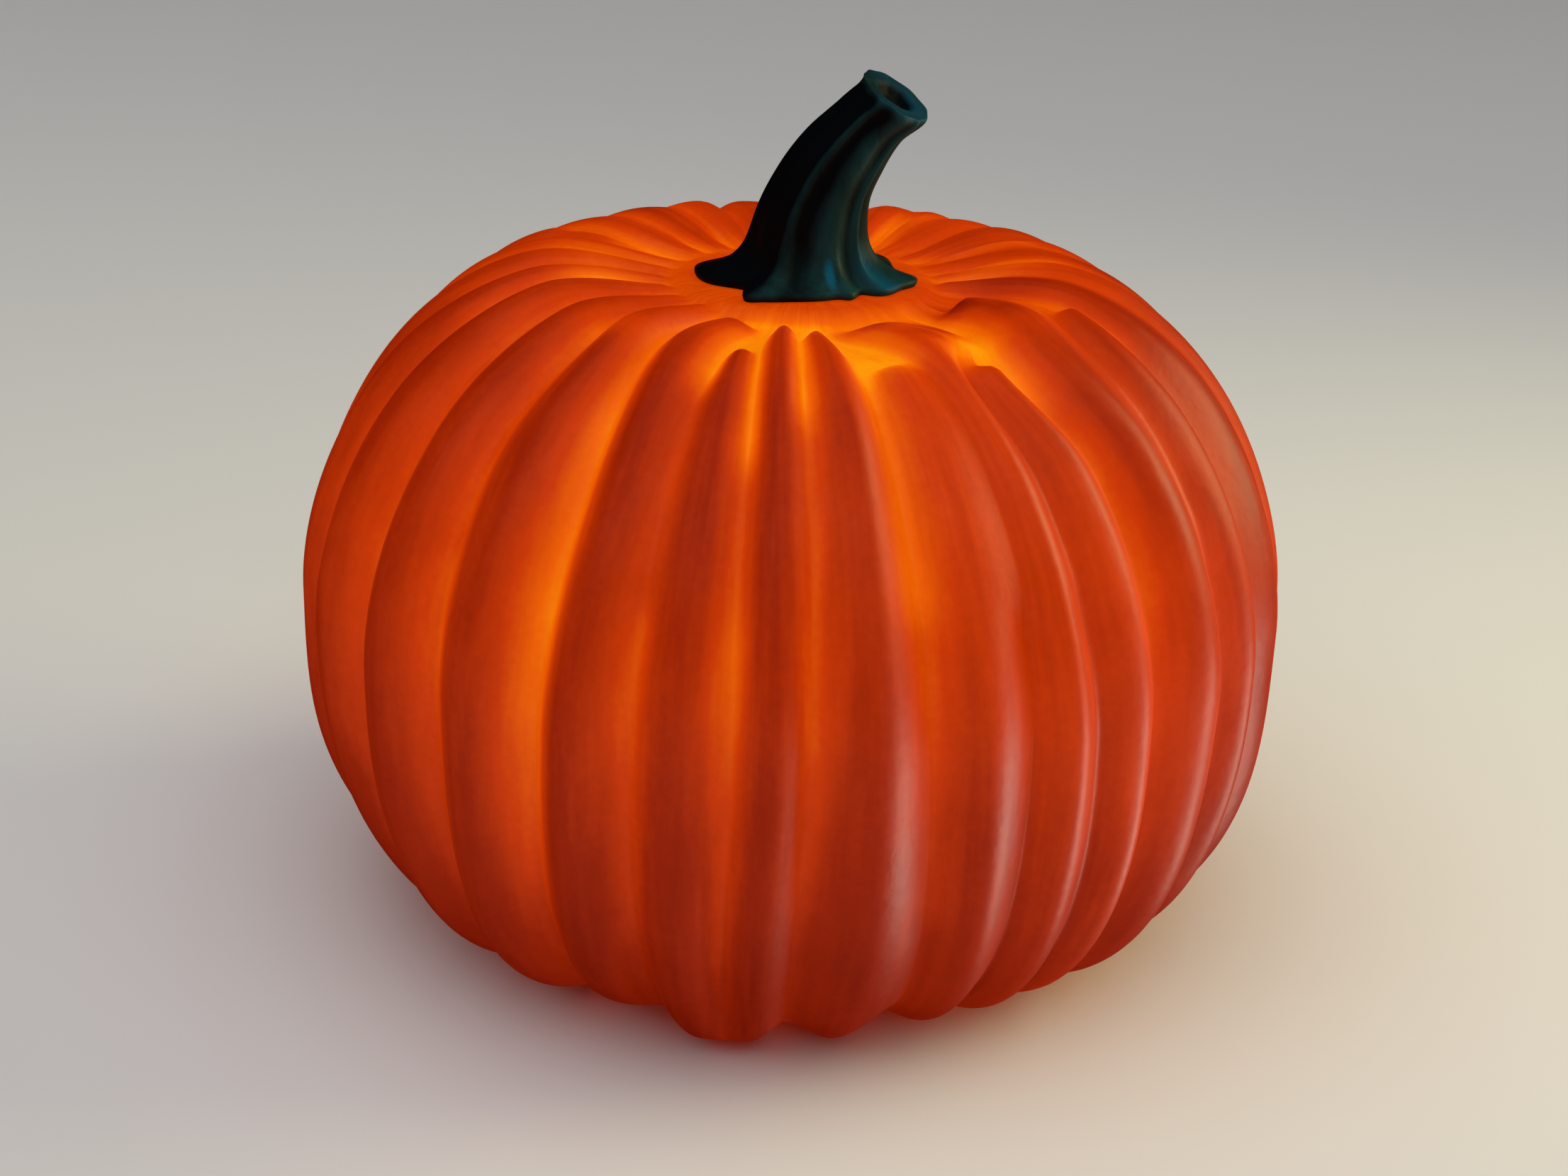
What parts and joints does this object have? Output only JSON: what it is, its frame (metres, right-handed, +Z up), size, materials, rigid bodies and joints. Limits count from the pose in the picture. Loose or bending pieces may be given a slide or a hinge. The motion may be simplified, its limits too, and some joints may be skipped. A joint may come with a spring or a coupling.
{
  "type": "lit artificial pumpkin lantern",
  "caption": "Squat artificial pumpkin with uneven rounded ribs and a ribbed, bent stem, lit orange from inside, standing on a flat base.",
  "frame": {"origin": "middle of the flat resting face under the body", "axes": "+Z up along the body's axis, -Y towards the front, +X to the side that the stem bends to"},
  "size_m": [0.2403, 0.2395, 0.2096],
  "materials": {
    "body_shell": "translucent satin orange, lit from inside",
    "stem_paint": "satin dark green-grey paint"
  },
  "bodies": {
    "root": {"body": "body_shell", "stem": "stem_paint"}
  },
  "joints": []
}
